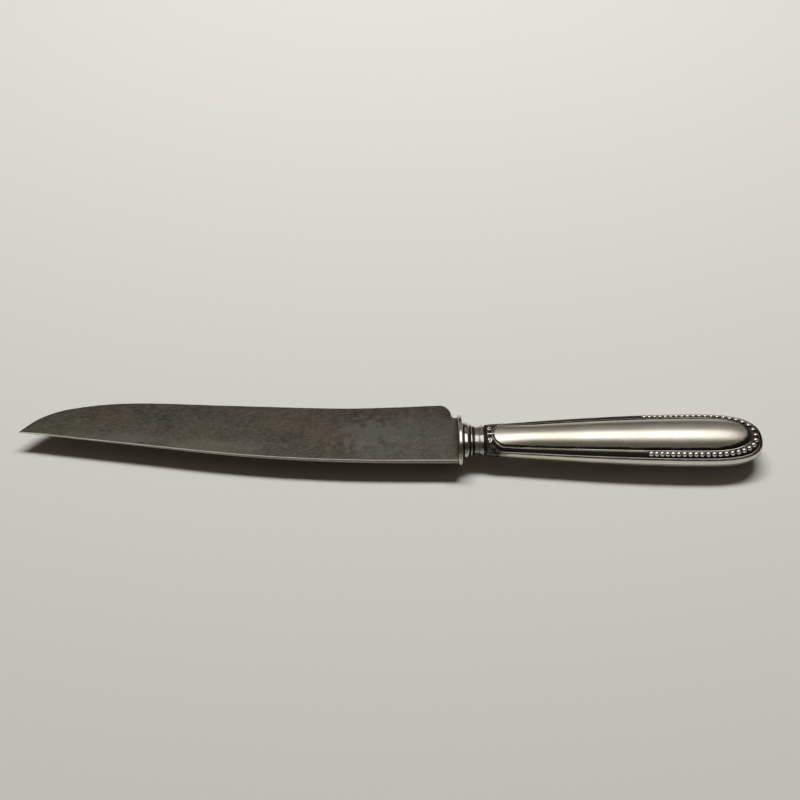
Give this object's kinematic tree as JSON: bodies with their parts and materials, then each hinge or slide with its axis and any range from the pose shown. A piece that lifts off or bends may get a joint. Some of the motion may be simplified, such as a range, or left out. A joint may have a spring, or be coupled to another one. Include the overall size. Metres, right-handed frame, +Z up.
{
  "type": "table carving knife",
  "caption": "Pointed slicing knife with a plain steel blade, oval guard, moulded neck and a filled silver handle with beaded borders.",
  "frame": {"origin": "on the surface that the knife lies on, under the middle of its bounding box", "axes": "+X along the knife from the blade's point to the handle's end, +Y towards the cutting edge, +Z up through the blade's thickness"},
  "size_m": [0.3204, 0.0326, 0.0164],
  "materials": {
    "blade_steel": "old carbon steel with a grey-brown patina and fine scratches",
    "guard_metal": "worn, with a bright rim",
    "silver": "warm polished silver, tarnished dark in the recesses",
    "solder": "silver solder",
    "resin": "hard dark resin filling"
  },
  "bodies": {
    "root": {"blade": "blade_steel", "guard_plate": "guard_metal", "ferrule": "silver", "handle_shell_top": "silver", "handle_shell_bottom": "silver", "seam_solder": "solder", "cement_core": "resin"}
  },
  "joints": []
}
